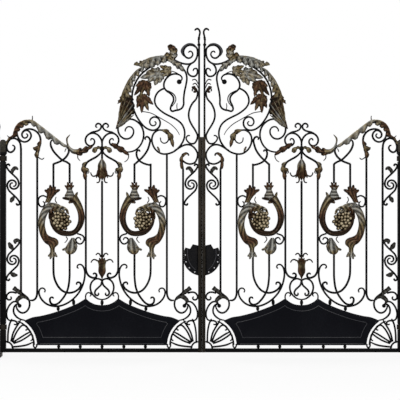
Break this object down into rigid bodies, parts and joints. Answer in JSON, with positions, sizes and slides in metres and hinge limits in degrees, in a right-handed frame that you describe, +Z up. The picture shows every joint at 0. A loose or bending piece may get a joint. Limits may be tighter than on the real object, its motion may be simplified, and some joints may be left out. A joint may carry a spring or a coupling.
{
  "type": "double-leaf wrought iron gate",
  "caption": "Double-leaf ornamental iron driveway gate: scrolled leaves with horse heads, acanthus, grape wreaths and kick panels swing on journals at two square posts.",
  "frame": {"origin": "centre of the left post's foot, on the ground", "axes": "+X along the closed gate towards the right post, +Y the side the leaves open to, +Z up"},
  "size_m": [4.385, 0.189, 3.2925],
  "materials": {
    "black_iron": "satin",
    "patina_iron": "rubbed patina",
    "bronze_paint": "satin"
  },
  "bodies": {
    "posts": {"left_post": "black_iron", "left_post_cap": "bronze_paint", "left_hinge_collars": "bronze_paint", "right_post": "black_iron", "right_post_cap": "bronze_paint", "right_hinge_collars": "bronze_paint"},
    "left_leaf": {"left_hanging_stile": "black_iron", "left_stile_journals": "bronze_paint", "left_meeting_stile": "black_iron", "left_meeting_cover": "bronze_paint", "left_bottom_rail": "black_iron", "left_kick_panel": "black_iron", "left_panel_studs": "black_iron", "left_grille": "black_iron", "left_side_rosettes": "black_iron", "left_corner_fans": "black_iron", "left_shoulder_scrolls": "black_iron", "left_lyre_scrolls": "black_iron", "left_crest_scrolls": "black_iron", "left_horse_head": "black_iron", "left_crest_acanthus": "patina_iron", "left_oak_spray": "patina_iron", "left_shoulder_acanthus": "patina_iron", "left_bar_leaves": "patina_iron", "left_wreath_horns": "patina_iron", "left_grapes": "patina_iron", "left_tulips": "patina_iron", "left_lock_plate": "bronze_paint"},
    "right_leaf": {"right_hanging_stile": "black_iron", "right_stile_journals": "bronze_paint", "right_meeting_stile": "black_iron", "right_meeting_cover": "bronze_paint", "right_bottom_rail": "black_iron", "right_kick_panel": "black_iron", "right_panel_studs": "black_iron", "right_grille": "black_iron", "right_side_rosettes": "black_iron", "right_corner_fans": "black_iron", "right_shoulder_scrolls": "black_iron", "right_lyre_scrolls": "black_iron", "right_crest_scrolls": "black_iron", "right_horse_head": "black_iron", "right_crest_acanthus": "patina_iron", "right_oak_spray": "patina_iron", "right_shoulder_acanthus": "patina_iron", "right_bar_leaves": "patina_iron", "right_wreath_horns": "patina_iron", "right_grapes": "patina_iron", "right_tulips": "patina_iron", "right_lock_plate": "bronze_paint"}
  },
  "joints": [
    {"name": "left_leaf_hinge", "type": "hinge", "parent": "posts", "child": "left_leaf", "pos_m": [0.11, 0, 1.985], "axis": [0, 0, 1], "range_deg": [0, 100]},
    {"name": "right_leaf_hinge", "type": "hinge", "parent": "posts", "child": "right_leaf", "pos_m": [4.086, 0, 1.985], "axis": [0, 0, -1], "range_deg": [0, 100]}
  ]
}
